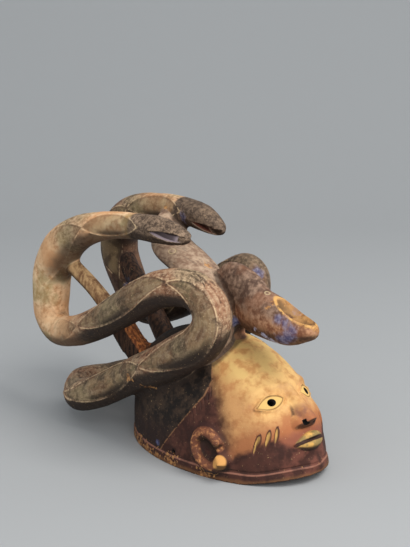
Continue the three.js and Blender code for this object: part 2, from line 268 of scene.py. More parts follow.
near_stations = [
    (-38, 31, 277, 4, 3), (-38, 37, 278, 11, 8), (-41, 58, 281, 17, 15), (-44, 88, 283, 20, 18),
    (-46, 116, 282, 19, 17), (-50, 151, 279, 18), (-54, 190, 271, 20), (-58, 226, 257, 24),
    (-61, 257, 233, 28), (-63, 278, 197, 27), (-65, 280, 166, 26), (-68, 277, 139, 24),
    (-72, 259, 121, 21), (-78, 214, 128, 21), (-84, 154, 154, 22), (-86, 111, 179, 23),
    (-86, 72, 203, 24), (-84, 37, 222, 24), (-80, 5, 230, 24), (-76, -19, 229, 24), (-73, -38, 216, 24),
    (-73, -45, 196, 24), (-77, -33, 170, 26), (-81, 2, 146, 26), (-80, 41, 123, 25), (-77, 83, 102, 23),
    (-75, 125, 78, 23), (-78, 162, 57, 23), (-78, 205, 40, 22), (-44, 242, 40, 21), (6, 248, 35, 19)]
far_stations = [
    (34, 43, 274, 4, 4), (34, 50, 276, 11, 9), (35, 66, 281, 16, 14), (38, 88, 286, 19, 18),
    (42, 116, 288, 19, 18), (46, 150, 288, 18), (48, 182, 285, 18), (52, 225, 276, 20),
    (57, 258, 259, 24), (62, 281, 234, 27), (65, 287, 200, 27), (66, 272, 166, 26), (70, 258, 138, 24),
    (74, 243, 122, 21), (80, 206, 130, 21), (85, 154, 156, 22), (86, 112, 180, 22), (82, 73, 205, 22),
    (76, 43, 218, 21), (72, 25, 212, 20), (71, 21, 195, 19), (73, 34, 166, 21), (71, 66, 130, 22),
    (73, 104, 101, 21), (77, 150, 69, 21), (78, 204, 40, 20), (44, 242, 35, 19), (-6, 248, 35, 19)]
arch_stations = [
    (42, 154, 284, 10, 10), (22, 134, 268, 24, 14), (2, 104, 249, 32, 17), (-4, 70, 237, 32, 17),
    (-12, 34, 222, 32, 17), (-22, 8, 203, 32, 17), (-34, -10, 178, 32, 17), (-38, -10, 152, 28, 17),
    (-30, -4, 128, 24, 17)]
rod_stations = [(-60, 264, 222, 11), (-50, 208, 185, 11), (-44, 164, 146, 12)]
bar_stations = [(62, 280, 204, 12), (42, 190, 136, 14), (34, 146, 96, 16)]
animal_stations = [
    (5, 9, 192, 14, 28), (4, -8, 208, 16, 43), (3, -28, 208, 19, 36), (-1, -50, 198, 22, 32),
    (-1, -80, 192, 24, 29), (-2, -108, 188, 21, 24), (-2, -130, 189, 17, 16), (-2, -143, 190, 12, 11),
    (-2, -149, 191, 6, 6)]
foot_stations = [(5, -2, 146, 14), (4, -10, 184, 14)]
bodies = [
    draw_body("near snake", near_stations), draw_body("far snake", far_stations),
    draw_body("arch", arch_stations), draw_body("rod", rod_stations), draw_body("bar", bar_stations),
    draw_body("animal", animal_stations), draw_body("foot", foot_stations)]

# The post below the rod is left square, as it was hewn from the block. It leans as the rod does, and holds
# the near snake off the cap.

POST_SIDE = 27
post_foot, post_head = Vector((-34, 112, 88)), Vector((-44, 166, 148))
bpy.ops.mesh.primitive_cube_add(size=1, location=to_frame((post_foot + post_head) / 2))
post = bpy.context.object
post.name = "post"
post.scale = (POST_SIDE / 1000, POST_SIDE / 1000, (post_head - post_foot).length / 1000)
post.rotation_euler = (post_head - post_foot).to_track_quat("Z", "X").to_euler()
bpy.ops.object.transform_apply()
bodies.append(post)

# The ears are C-shaped rims on the sides of the head, level with the nose, each with a block for a lobe.
# All heights on the face run up a plane that leans back, from the chin.

FACE_LEAN = math.radians(35)
FACE_HEIGHT = 196
CHIN_PLACE = np.array([0, -150, 10])
EYE_LINE, NOSE_BASE, MOUTH_LINE = 0.5 * FACE_HEIGHT, 0.3 * FACE_HEIGHT, 0.2 * FACE_HEIGHT
EYE_WIDTH, EYE_OPENING = 31, 17
EAR_HEIGHT, EAR_WIDTH, EAR_SET_BACK, EAR_RIM = 46, 33, 66, 6.2
EAR_START, EAR_SWEEP, EAR_STEPS = 185, 310, 9
LOBE_SIZE, LOBE_TURN = (0.015, 0.016, 0.013), 30
OUT = np.array([0, -math.cos(FACE_LEAN), math.sin(FACE_LEAN)])
UPWARD = np.array([0, math.sin(FACE_LEAN), math.cos(FACE_LEAN)])


def side_place(back, up, proud):
    """A place on the left side of the head, so far behind the face plane and up it."""
    on_plane = CHIN_PLACE + UPWARD * up - OUT * back
    half_width, half_length, middle = oval(on_plane[2])
    share = min(abs(on_plane[1] - middle) / half_length, 1)
    return np.array([half_width * math.sqrt(1 - share ** 2) + proud, on_plane[1], on_plane[2]])


ear_stations = []
for i in range(EAR_STEPS + 1):
    turn = math.radians(EAR_START - EAR_SWEEP * i / EAR_STEPS)
    place = side_place(
        EAR_SET_BACK + EAR_WIDTH / 2 * math.cos(turn),
        (EYE_LINE + NOSE_BASE) / 2 + EAR_HEIGHT / 2 * math.sin(turn), 5)
    ear_stations.append((*place, EAR_RIM))
bodies += [
    draw_body("left ear", ear_stations),
    draw_body("right ear", [(-x, y, z, radius) for x, y, z, radius in ear_stations])]
lobe_place = np.array(ear_stations[-1][:3]) + (2, -3, 0)
for sign in (-1, 1):
    bpy.ops.mesh.primitive_cube_add(size=1, location=to_frame(lobe_place * (sign, 1, 1)))
    lobe = bpy.context.object
    lobe.name = "lobe"
    lobe.scale = LOBE_SIZE
    lobe.rotation_euler = (FACE_LEAN, 0, sign * math.radians(LOBE_TURN))
    bpy.ops.object.transform_apply()
    bodies.append(lobe)

# The bodies run together as one block: they are joined and rebuilt as one skin, and the steps left where
# they meet are rubbed down.

SKIN_STEP = 0.00375
bpy.ops.object.select_all(action="DESELECT")
for body in bodies:
    body.select_set(True)
carving.select_set(True)
bpy.context.view_layer.objects.active = carving
bpy.ops.object.join()


def apply_modifier(piece, kind, **settings):
    bpy.context.view_layer.objects.active = piece
    modifier = piece.modifiers.new(kind.lower(), kind)
    for name, value in settings.items():
        setattr(modifier, name, value)
    bpy.ops.object.modifier_apply(modifier=modifier.name)


apply_modifier(carving, "REMESH", mode="VOXEL", voxel_size=SKIN_STEP)
apply_modifier(carving, "SMOOTH", factor=0.5, iterations=4)

# The face is a general one, calm and drawn by rule: eyes halfway up the face plane, the nose base at three
# tenths and the mouth at two. Its forms are raised on the front of the dome.
# A swelling is [height, side, up, half width, half height] in millimetres: sockets, cheeks, mouth, chin.

SWELLINGS = [(-3.6, 30, 99, 27, 17), (3.4, 46, 68, 27, 25), (3.0, 0, 40, 40, 26), (4.0, 0, 9, 24, 16)]


def read_normals(piece):
    flat = np.empty(len(piece.data.vertices) * 3)
    piece.data.vertex_normals.foreach_get("vector", flat)
    return flat.reshape(-1, 3)


def refine(piece, near):
    """Quarters the faces that have all their corners where the mask near is true."""
    mesh = piece.data
    corners = np.empty(len(mesh.loops), int)
    starts, counts = np.empty(len(mesh.polygons), int), np.empty(len(mesh.polygons), int)
    mesh.loops.foreach_get("vertex_index", corners)
    mesh.polygons.foreach_get("loop_start", starts)
    mesh.polygons.foreach_get("loop_total", counts)
    chosen = np.add.reduceat(near[corners], starts) == counts
    mesh.vertices.foreach_set("select", np.zeros(len(mesh.vertices), bool))
    mesh.edges.foreach_set("select", np.zeros(len(mesh.edges), bool))
    mesh.polygons.foreach_set("select", chosen)
    bpy.context.view_layer.objects.active = piece
    bpy.ops.object.mode_set(mode="EDIT")
    bpy.ops.mesh.select_mode(type="FACE")
    bpy.ops.mesh.subdivide(number_cuts=1, smoothness=0.3)
    bpy.ops.object.mode_set(mode="OBJECT")


def bell(square):
    """A smooth swelling that ends where its square distance reaches one."""
    return np.clip(1 - square, 0, 1) ** 2


def ease(value):
    """A soft step from nought to one."""
    t = np.clip(value, 0, 1)
    return t * t * (3 - 2 * t)


def off_dome(places):
    """How far outside the head's own dome a place is, in millimetres, for places near it."""
    half_width, half_length, middle = oval(np.clip(places[:, 2], 0, DOME_HEIGHT - 1))
    share = np.hypot(places[:, 0] / half_width, (places[:, 1] - middle) / half_length)
    return (share - 1) * np.minimum(half_width, half_length)


def face_places(places):
    """Side, height up the face plane, and depth, in millimetres."""
    off = places - CHIN_PLACE
    return off[:, 0], off @ UPWARD, off @ OUT


def on_face(places, normals):
    """How fully each place belongs to the front of the face, from nought to one."""
    side, up, out = face_places(places)
    front = ease((normals @ OUT - 0.12) / 0.25) * ease((up + 16) / 10) * ease((150 - up) / 12)
    return front * (np.abs(off_dome(places)) < 4) * (out > -75)


def face_relief(side, up):
    """The height of the face's forms above the dome."""
    s = np.abs(side)
    brow = np.exp(-((up - 117 + 0.006 * (s - 28) ** 2) / 6) ** 2)
    forms = 3.2 * brow * ease((s - 3) / 12) * ease((60 - s) / 16)
    for height, beside, above, half_width, half_height in SWELLINGS:
        forms += height * bell(((s - beside) / half_width) ** 2 + ((up - above) / half_height) ** 2)

    nose_root = EYE_LINE + 18
    down = np.clip((nose_root - up) / (nose_root - NOSE_BASE), 0, 1)
    tip = ease((up - NOSE_BASE + 5) / 8)
    width = 7 + 7 * down ** 1.5
    bridge = (1.5 + 18.5 * down ** 1.25) * np.clip(1 - (s / width) ** 2, 0, 1) ** 0.7 * (up < nose_root)
    wing = 10 * bell(((s - 11) / 10) ** 2 + ((up - NOSE_BASE - 4) / 12) ** 2) ** 0.6
    forms += np.maximum(bridge, wing) * tip

    half = 0.75 * EYE_WIDTH
    q = np.clip(s / half, 0, 1)
    upper = MOUTH_LINE + 5.0 * (1 - q ** 2) - 1.3 * np.exp(-(s / 4) ** 2)
    lower = MOUTH_LINE - 5.6 * (1 - q ** 2)
    for middle, thick, height in ((upper, 5.2, 7.0), (lower, 5.8, 7.6)):
        across = (up - middle) / np.maximum(thick * (1 - 0.8 * q ** 3), 0.8)
        forms += height * (1 - 0.75 * q ** 2) * np.sqrt(np.clip(1 - across ** 2, 0, 1)) * (s < half)
    forms -= 2.2 * np.exp(-((up - MOUTH_LINE) / 1.3) ** 2) * ease((half + 3 - s) / 3)
    return forms


def eye_opening(side, up):
    """How far inside the line of the eyelids a place is, with its shares along the eye and up it."""
    q = (np.abs(side) - EYE_WIDTH) / (EYE_WIDTH / 2 + 2)
    v = up - EYE_LINE
    return (EYE_OPENING / 2 + 2) * (1 - q ** 2) - np.abs(v), q, v


def eye_relief(side, up):
    """The height of the eyelids and the eyeballs."""
    inside, q, v = eye_opening(side, up)
    lid = np.where(v > 0, 3.2, 2.3) * np.exp(-(inside / 1.7) ** 2) * ease((1.15 - np.abs(q)) / 0.15)
    ball = 4.6 * np.sqrt(np.clip(1 - (q / 0.9) ** 2 - (v / 9) ** 2, 0, 1)) * (inside > 0)
    return lid + ball


def cheek_mark_depth(side, up):
    """Three slanting cuts on each cheek, each a long pointed boat."""
    depth = np.zeros_like(side)
    for i in range(3):
        foot, top = np.array([43 + 9 * i, NOSE_BASE - 11]), np.array([36 + 9 * i, NOSE_BASE + 11])
        off = np.stack([np.abs(side), up], 1) - foot
        length = np.linalg.norm(top - foot)
        along = off @ (top - foot) / length
        across = np.abs(off @ np.array([-(top - foot)[1], (top - foot)[0]]) / length)
        half = 3.2 * np.sqrt(np.clip(4 * (along / length) * (1 - along / length), 0, 1))
        depth = np.maximum(depth, np.clip(half - across, 0, 3.2))
    return depth


places = read_drawn(carving)
refine(carving, on_face(places, read_normals(carving)) > 0.02)
places = read_drawn(carving)
side, up, out = face_places(places)
fine = on_face(places, read_normals(carving)) > 0.1
fine &= (np.hypot((np.abs(side) - EYE_WIDTH) / 24, (up - EYE_LINE) / 17) < 1) | (
    np.hypot(side / 30, (up - MOUTH_LINE - 8) / 30) < 1)
refine(carving, fine)

places, normals = read_drawn(carving), read_normals(carving)
front = on_face(places, normals)
side, up, out = face_places(places)
nose_or_mouth = ease((34 - np.abs(side)) / 14)[:, None]
push = unit(normals * (1 - 0.8 * nose_or_mouth) + OUT * 0.8 * nose_or_mouth)
write_drawn(carving, places + push * (front * face_relief(side, up))[:, None])
apply_modifier(carving, "SMOOTH", factor=0.4, iterations=1)
places, normals = read_drawn(carving), read_normals(carving)
raised = front * (eye_relief(side, up) - cheek_mark_depth(side, up))
write_drawn(carving, places + normals * raised[:, None])

# The hollow for the wearer's head, the pierced pupils and nostrils, the hole for tying on the costume and
# the mouths are cut out of the block. The rim is cut flat, and rises a little at the chin.


def cut_away(cutter):
    apply_modifier(carving, "BOOLEAN", operation="DIFFERENCE", solver="MANIFOLD", object=cutter)
    bpy.data.objects.remove(cutter)


def drill(radius, through, direction, depth, stretch):
    bpy.ops.mesh.primitive_cylinder_add(vertices=24, radius=radius / 1000, depth=depth / 1000)
    bit = bpy.context.object
    bit.scale = (stretch, 1, 1)
    bit.rotation_euler = Vector(direction).to_track_quat("Z", "Y").to_euler()
    bit.location = to_frame(through)
    bpy.ops.object.transform_apply()
    return bit


def on_carving(side, up):
    """The place on the carved face at a side and height."""
    start = CHIN_PLACE + UPWARD * up + np.array([side, 0, 0]) + OUT * 80
    place = carving.ray_cast(to_frame(start), Vector(-OUT))[1]
    return (np.array(place) - np.array(rim_middle)) * 1000


cut_away(raise_dome("hollow", [(-14, WALL, 0)] + dome_rows(20, WALL, 0)))
bpy.ops.mesh.primitive_cube_add(size=1, location=to_frame((0, 0, -20)))
below_rim = bpy.context.object
below_rim.scale = (0.5, 0.8, 0.04)
bpy.ops.object.transform_apply()
cut_away(below_rim)

CHIN_START, CHIN_RUN, CHIN_RISE = -92, 60, 12
bpy.ops.mesh.primitive_cube_add(size=1)
wedge = bpy.context.object
wedge.matrix_world = (
    Matrix.Translation(to_frame((0, CHIN_START, 0)))
    @ Matrix.Rotation(-math.atan2(CHIN_RISE, CHIN_RUN), 4, "X")
    @ Matrix.Translation((0, -0.040, -0.010)) @ Matrix.Diagonal((RIM_WIDTH / 1000, 0.080, 0.020, 1)))
bpy.ops.object.transform_apply()
cut_away(wedge)

COSTUME_HOLE_RADIUS, PUPIL_RADIUS, NOSTRIL_RADIUS, NOSTRIL_STRETCH = 3, 4.5, 3, 1.5
bores = [(COSTUME_HOLE_RADIUS, np.array([-80, 7, 18]), np.array([1, 0, 0]), 60, 1)]
for sign in (-1, 1):
    bores.append((PUPIL_RADIUS, on_carving(sign * EYE_WIDTH, EYE_LINE), OUT, 70, 1))
    nostril = on_carving(sign * 7.5, NOSE_BASE + 1) + OUT * -4 - UPWARD * 4
    bores.append((NOSTRIL_RADIUS, nostril, UPWARD, 15, NOSTRIL_STRETCH))
for bore in bores:
    cut_away(drill(*bore))

MOUTH_LENGTH, MOUTH_GAPE, MOUTH_DEPTH, TONGUE_HALF = 58, 11, 30, 4
MOUTH_BOW = (MOUTH_LENGTH ** 2 / 4 + MOUTH_GAPE ** 2 / 4) / MOUTH_GAPE


def cut_mouth(tip, corner):
    """A slot on each side of the head, pointed at both ends: where two round discs overlap."""
    tip, corner = Vector(tip), Vector(corner)
    along = (corner - tip).normalized()
    across = along.cross(Vector((0, 0, 1))).normalized()
    turned = Matrix((along, across.cross(along), across)).transposed().to_4x4()
    turned.translation = to_frame((tip + corner) / 2)
    for side in (-1, 1):
        discs = []
        for way in (-1, 1):
            bpy.ops.mesh.primitive_cylinder_add(
                vertices=160, radius=MOUTH_BOW / 1000, depth=MOUTH_DEPTH / 1000)
            discs.append(bpy.context.object)
            aside = side * (TONGUE_HALF + MOUTH_DEPTH / 2)
            shift = Vector((0, way * (MOUTH_BOW - MOUTH_GAPE / 2), aside)) / 1000
            discs[-1].matrix_world = turned @ Matrix.Translation(shift)
            bpy.ops.object.transform_apply()
        apply_modifier(discs[0], "BOOLEAN", operation="INTERSECT", solver="MANIFOLD", object=discs[1])
        bpy.data.objects.remove(discs[1])
        cut_away(discs[0])


cut_mouth((-39, 25, 277), (-45, 83, 283))
cut_mouth((34, 34, 270), (38, 91, 282))

SCOOP_PLACE, SCOOP_HALF, SCOOP_TURN = (-2, -116, 212), (13.5, 32, 15), 0.38
bpy.ops.mesh.primitive_uv_sphere_add(segments=48, ring_count=24, radius=1)
scoop = bpy.context.object
scoop.scale = Vector(SCOOP_HALF) / 1000
scoop.rotation_euler = (SCOOP_TURN, 0, 0)
scoop.location = to_frame(SCOOP_PLACE)
bpy.ops.object.transform_apply()
cut_away(scoop)

# The snakes' ornament: chains of long pointed ovals, incised and filled with olive, that follow each body on
# its outer side and on its inner one. Marks are [millimetres from the tip, degrees round the body].

OVAL_HALF_TURN, LINE_BAND = math.radians(52), 3.5
near_marks = [(75, 10), (171, 10), (300, -25), (455, -15), (646, -25), (850, 15), (1026, 15), (1200, 15)]
far_marks = [(75, 10), (190, 10), (330, -20), (480, -15), (620, -20), (780, 15), (930, 15), (1200, 15)]


def lay_along(places, stations):
    """For each place: how far along the body it is, the angle round it, its radius and the distance."""
    line = line_through(stations)
    middle = line[:, :3]
    along = unit(np.gradient(middle, axis=0))
    passed = np.concatenate([[0], np.cumsum(np.linalg.norm(np.diff(middle, axis=0), axis=1))])
    outward = np.empty_like(middle)
    carried = np.array([-1.0, 0, 0])
    for i, ahead in enumerate(along):
        fixed = np.array([-1.0, 0, 0]) - ahead * -ahead[0]
        carried = carried - ahead * (carried @ ahead) + 0.3 * fixed * np.linalg.norm(fixed)
        carried /= np.linalg.norm(carried)
        outward[i] = carried
    upward = np.cross(along, outward)
    nearest = np.concatenate([
        np.argmin((middle ** 2).sum(1) - 2 * part @ middle.T, axis=1)
        for part in np.array_split(places, 1 + len(places) // 5000)])
    off = places - middle[nearest]
    slip = (off * along[nearest]).sum(1)
    angle = np.arctan2((off * upward[nearest]).sum(1), (off * outward[nearest]).sum(1))
    wide, high = line[nearest, 3], line[nearest, 4]
    radius = wide * high / np.hypot(high * np.cos(angle), wide * np.sin(angle))
    return passed[nearest] + slip, angle, radius, np.linalg.norm(off, axis=1)


def oval_distance(along, angle, radius, marks):
    """Millimetres outside the nearest incised oval, less than nothing inside it."""
    stops, turns = np.array(marks, float).T
    k = np.clip(np.searchsorted(stops, along) - 1, 0, len(stops) - 2)
    length = (stops[1:] - stops[:-1])[k]
    t = np.clip((along - stops[k]) / length, 0, 1)
    turned = np.radians(np.interp(along, stops, turns))
    best = None
    for row in (0, math.pi):
        off = np.abs((angle - turned - row + math.pi) % (2 * math.pi) - math.pi)
        slope = radius * OVAL_HALF_TURN * 4 * (1 - 2 * t) / length
        gap = radius * (off - OVAL_HALF_TURN * 4 * t * (1 - t)) / np.sqrt(1 + slope ** 2)
        best = gap if best is None else np.minimum(best, gap)
    return best


def snake_marks(places):
    """The ornament's distance, the way along the body, how far off its skin, and its own axes."""
    distance, on_snake = np.full(len(places), 99.0), np.full(len(places), 99.0)
    axes = np.zeros((len(places), 3))
    for stations, marks in ((near_stations, near_marks), (far_stations, far_marks)):
        passed, angle, radius, off = lay_along(places, stations)
        mine = off - radius < on_snake
        distance[mine] = oval_distance(passed, angle, radius, marks)[mine]
        axes[mine] = np.stack([passed, off * np.cos(angle), off * np.sin(angle)], 1)[mine]
        on_snake[mine] = (off - radius)[mine]
    return distance, axes[:, 0], on_snake, axes


# Small things incised with a knife point: ring eyes, a ring on the arch, cuts on the animal's brow and on
# the snakes' heads, a crack across the near bend and the short locks in front of the hairline.
# Rings are [x, y, z, radius] and strokes are [from, to], in millimetres.

rings = [(-24, 79, 253, 4.5), (-4, -70, 223, 3.2), (9, -69, 221, 3.2)]
strokes = [
    ((-6, -81, 219), (-13, -93, 211)), ((-16, -80, 212), (-18, -86, 208)),
    ((8, -80, 218), (10, -91, 212)),
    ((-62, 85, 287), (-58, 75, 292)), ((-26, 85, 288), (-30, 75, 293)),
    ((-75, -11, 254), (-79, -28, 250)), ((-79, -28, 250), (-83, -41, 242)),
    ((-83, -41, 242), (-87, -46, 232)),
    ((37, 136, 304), (32, 118, 303)), ((23, 118, 284), (23, 108, 285))]
LOCK_HEIGHTS = (70, 77, 83, 90, 95, 101, 108)
for height in LOCK_HEIGHTS:
    for sign in (-1, 1):
        back = np.interp(height, (66, 98, 116), (-8, -30, -35)) - 2
        ends = []
        for y, z in ((back, height), (back - 4, height - 9)):
            half_width, half_length, middle = oval(z)
            ends.append((sign * half_width * math.sqrt(1 - ((y - middle) / half_length) ** 2), y, z))
        strokes.append(ends)


def ring_distance(places):
    """Millimetres outside the nearest incised ring, less than nothing inside it."""
    return np.min([np.linalg.norm(places - ring[:3], axis=1) - ring[3] for ring in rings], axis=0)


def stroke_distance(places):
    """Millimetres from the nearest stroke."""
    nearest = np.full(len(places), 30.0)
    for start, end in strokes:
        start, run = np.array(start, float), np.subtract(end, start)
        t = np.clip((places - start) @ run / (run @ run), 0, 1)
        nearest = np.minimum(nearest, np.linalg.norm(places - start - t[:, None] * run, axis=1))
    return nearest


def lip_line(places):
    """The height of the lip's upper edge, which climbs towards the chin."""
    return 13.5 + 9 * ease((-100 - places[:, 1]) / 52)


places = read_drawn(carving)
distance, along, on_snake, axes = snake_marks(places)
lip = (places[:, 2] < lip_line(places) + 5.5) & (np.abs(off_dome(places)) < 4)
small = (ring_distance(places) < 4) | (stroke_distance(places) < 5)
refine(carving, ((np.abs(distance) < LINE_BAND) & (on_snake < 3) & (along > 60)) | small | lip)
places = read_drawn(carving)
refine(carving, (np.abs(ring_distance(places)) < 2.5) | (stroke_distance(places) < 2.5))
places, normals = read_drawn(carving), read_normals(carving)
distance, along, on_snake, axes = snake_marks(places)
on_back = ease((along - 180) / 60) * ease((480 - along) / 60)
drawn = ease((3 - on_snake) / 2) * ease((along - 70) / 12) * (1 - 0.7 * on_back)
groove = drawn * (0.7 * np.exp(-((distance - 1.1) / 1.1) ** 2) - 0.8 * ease((0.6 - distance) / 2.2))
groove -= 0.7 * np.exp(-(np.minimum(np.abs(ring_distance(places)), stroke_distance(places)) / 0.8) ** 2)

HAIRLINE = np.array([
    (10, 36), (20, 29), (66, -8), (98, -30), (116, -33), (138, -18), (154, 6)], float)
skin = ease((5 - np.abs(off_dome(places))) / 2) * (places[:, 2] < DOME_HEIGHT + 1)
behind = places[:, 1] - np.interp(places[:, 2], *HAIRLINE.T)
groove += skin * 1.1 * ease(behind / 2.5 + 0.5) * (places[:, 2] > LIP_HEIGHT)
over_lip = places[:, 2] - lip_line(places)
groove += skin * 0.9 * (ease(-over_lip / 1.2) - np.exp(-((over_lip - 2) / 1.2) ** 2))
moved = places + normals * groove[:, None]
lowest, highest = [(np.array(c) - np.array(rim_middle)) * 1000 for c in solid_box]
write_drawn(carving, np.clip(moved, lowest + 0.1, highest - 0.1))

# What the painter needs to know about each place is kept with it, most of it in millimetres: which body it
# belongs to, how far it is from the incised lines, the hairline and the edges of the painted fields, and
# where the wood has gone bare or was touched with blue.


def keep(name, values, kind="FLOAT"):
    """Stores a value for each vertex, for the paint to read."""
    layer = carving.data.attributes.new(name, kind, "POINT")
    field = "value" if kind == "FLOAT" else "vector"
    layer.data.foreach_set(field, np.ascontiguousarray(values, np.float32).ravel())


def off_body(places, stations):
    """How far outside a body's skin each place is."""
    passed, angle, radius, off = lay_along(places, stations)
    return off - radius


def spots(places, patches):
    """A soft patch round each place, given as [x, y, z, radius]."""
    strength = np.full(len(places), -2.0)
    for x, y, z, radius in patches:
        strength = np.maximum(strength, 1 - np.linalg.norm(places - (x, y, z), axis=1) / radius)
    return strength


def stand_out(piece, rounds):
    """How far each place stands out of a much smoothed copy of the surface, in millimetres."""
    ends = np.empty(len(piece.data.edges) * 2, int)
    piece.data.edges.foreach_get("vertices", ends)
    a, b = ends.reshape(-1, 2).T
    counts = np.bincount(ends, minlength=len(piece.data.vertices))
    places = smoothed = read_drawn(piece)
    for _ in range(rounds):
        sums = [np.bincount(a, smoothed[b, k], len(counts)) + np.bincount(b, smoothed[a, k], len(counts))
                for k in range(3)]
        smoothed = np.stack(sums, 1) / counts[:, None]
    return ((places - smoothed) * read_normals(piece)).sum(1)


places, normals = read_drawn(carving), read_normals(carving)
inner = oval(np.clip(places[:, 2], 0, DOME_HEIGHT - WALL - 1), WALL)
inside = np.hypot(places[:, 0] / inner[0], (places[:, 1] - inner[2]) / inner[1]) < 1.02
inside &= places[:, 2] < DOME_HEIGHT - WALL + 1
off_head = np.where(places[:, 2] < DOME_HEIGHT + 2, np.abs(off_dome(places)), 99)
off_animal = off_body(places, animal_stations)
off_parts = {
    "snake": on_snake,
    "arch": off_body(places, arch_stations),
    "rod": off_body(places, rod_stations),
    "post": off_body(places, [(*post_foot, 18), (*post_head, 18)]),
    "bar": off_body(places, bar_stations),
    "animal": np.minimum(off_animal, off_body(places, foot_stations)),
    "head": np.where(inside, -20, off_head)}
rest = np.stack(list(off_parts.values()))
for i, (name, off) in enumerate(off_parts.items()):
    if name != "snake":
        keep(name, np.clip(np.delete(rest, i, axis=0).min(0) - off, -15, 15))
keep("inside", inside)
keep("line", np.where((along > 70) & (on_snake < 4), distance, 99))
keep("cut", stroke_distance(places))
keep("ring", ring_distance(places))
keep("along", along)
keep("under", -normals[:, 2])
keep("edge", stand_out(carving, 25))
keep("body", axes, "FLOAT_VECTOR")
keep("hair", places[:, 1] - np.interp(places[:, 2], *HAIRLINE.T))
keep("deep", -np.where((along < 75) & (along > 8), on_snake, 9))
in_bore = np.full(len(places), -9.0)
for radius, through, direction, depth, stretch in bores:
    off = places - through
    slip = off @ direction
    off = (off - slip[:, None] * direction) / (stretch, 1, 1)
    near = np.abs(slip) < depth / 2 + 1
    in_bore[near] = np.maximum(in_bore, radius - np.linalg.norm(off, axis=1))[near]
keep("hole", in_bore)
turned = np.array(Matrix.Rotation(SCOOP_TURN, 3, "X"))
scoop_share = np.linalg.norm((places - SCOOP_PLACE) @ turned / SCOOP_HALF, axis=1)
keep("scoop", np.where(off_animal < 4, (scoop_share - 1) * SCOOP_HALF[2], 30))
keep("lip_top", lip_line(places) - places[:, 2])
side, up, out = face_places(places)
keep("side", np.abs(side))
keep("up", up)
TEMPLE = np.array([
    (20, -84), (45, -76), (67, -68), (95, -54), (121, -30), (138, -8), (154, 16)], float)
keep("field", np.interp(places[:, 2], *TEMPLE.T) - places[:, 1])
keep("eye", eye_opening(side, up)[0])
mirrored = places * (-1, 1, 1)
mirrored[places[:, 0] > 0] = places[places[:, 0] > 0]
keep("ear", 1.5 - off_body(mirrored, ear_stations))
keep("lobe", spots(mirrored, [(*(lobe_place + (3, 0, 0)), 12)]))
keep("mark", cheek_mark_depth(side, up) * (out > -75))

raw = [
    (-74, 89, 2, 18), (-84, 65, 2, 16), (-89, 40, 2, 14), (-91, 12, 3, 16), (-87, -47, 3, 18),
    (-60, 112, 2, 18), (-97, 82, 100, 10), (-84, 60, 93, 11), (10, 229, 38, 20), (35, 225, 40, 18),
    (-15, -110, 206, 6), (-16, -123, 201, 6), (-14, -136, 197, 7), (0, -148, 193, 9), (6, -94, 214, 6),
    (9, -114, 203, 6), (11, -130, 199, 6), (-6, 32, 240, 8), (29, 150, 292, 6), (0, -133, 4, 22),
    (40, -125, 4, 18), (85, 20, 4, 24), (60, 110, 5, 22), (100, 90, 95, 14), (-11, -86, 216, 5),
    (-17, -84, 210, 5)]
blue = [
    (-20, -104, 201, 10), (-19, -112, 197, 9), (-19, -126, 190, 12), (-19, -119, 183, 12),
    (-18, -108, 177, 12), (-17, -27, 179, 9), (64, 10, 222, 11), (25, 108, 286, 10), (16, -106, 199, 14),
    (16, -118, 181, 12), (-87, 40, 21, 6), (48, 245, 150, 22)]
frost = [(-22, -79, 174, 7), (-18, -88, 168, 9), (-11, -94, 163, 9), (-24, -66, 178, 6)]
keep("raw", spots(places, raw))
keep("blue", spots(places, blue))
keep("frost", spots(places, frost))

# The paint: worn earth colours over brown wood. Each body has its own ground, broken up by grain that runs
# along it, then come the incised lines, the painted fields of the face, bare wood, touches of blue, and
# painted shade.


class Wire:
    """An output of the paint's nodes that can be reckoned with."""

    tree = None

    def __init__(self, socket):
        self.socket = socket

    @classmethod
    def node(cls, kind, settings, values, output=0):
        made = cls.tree.nodes.new("ShaderNode" + kind)
        for name, value in settings.items():
            setattr(made, name, value)
        for name, value in values.items():
            if isinstance(value, Wire):
                cls.tree.links.new(value.socket, made.inputs[name])
            else:
                made.inputs[name].default_value = value
        return cls(made.outputs[output])

    def maths(self, operation, *others):
        return self.node("Math", {"operation": operation}, dict(enumerate((self, *others))))

    def __add__(self, other):
        return self.maths("ADD", other)

    def __sub__(self, other):
        return self.maths("SUBTRACT", other)

    def __mul__(self, other):
        return self.maths("MULTIPLY", other)

    def __rsub__(self, other):
        return self * -1 + other

    def __abs__(self):
        return self.maths("ABSOLUTE")

    __radd__, __rmul__ = __add__, __mul__

    def rises(self, low, high):
        """Nought below low and one above high, with a soft step between; falls if low is the larger."""
        if low > high:
            return 1 - self.rises(high, low)
        return self.node("MapRange", {"interpolation_type": "SMOOTHSTEP"}, {0: self, 1: low, 2: high})

    def over(self, under, colour):
        """The colour laid over another, as thick as this value."""
        colour = colour if isinstance(colour, Wire) else (*colour, 1)
        under = under if isinstance(under, Wire) else (*under, 1)
        return self.node("Mix", {"data_type": "RGBA"}, {0: self, 6: under, 7: colour}, 2)


def tint(red, green, blue):
    """A colour as a photograph shows it in this light, 0 to 255, as a share of light sent back."""
    return [((c / 255 + 0.055) / 1.055) ** 2.4 / 0.85 for c in (red, green, blue)]


def kept(name, output=2):
    return Wire.node("Attribute", {"attribute_name": name}, {}, output)


def noise(vector, size, detail=3.0, roughness=0.55):
    """Noise with grains of about that many millimetres."""
    scale = 1000 / size
    return Wire.node("TexNoise", {}, {
        "Vector": vector, "Scale": scale, "Detail": detail, "Roughness": roughness})


def pressed(vector, shares):
    """Places pressed along their axes, which draws out the noise on them as grain."""
    return Wire.node("VectorMath", {"operation": "MULTIPLY"}, {0: vector, 1: shares})


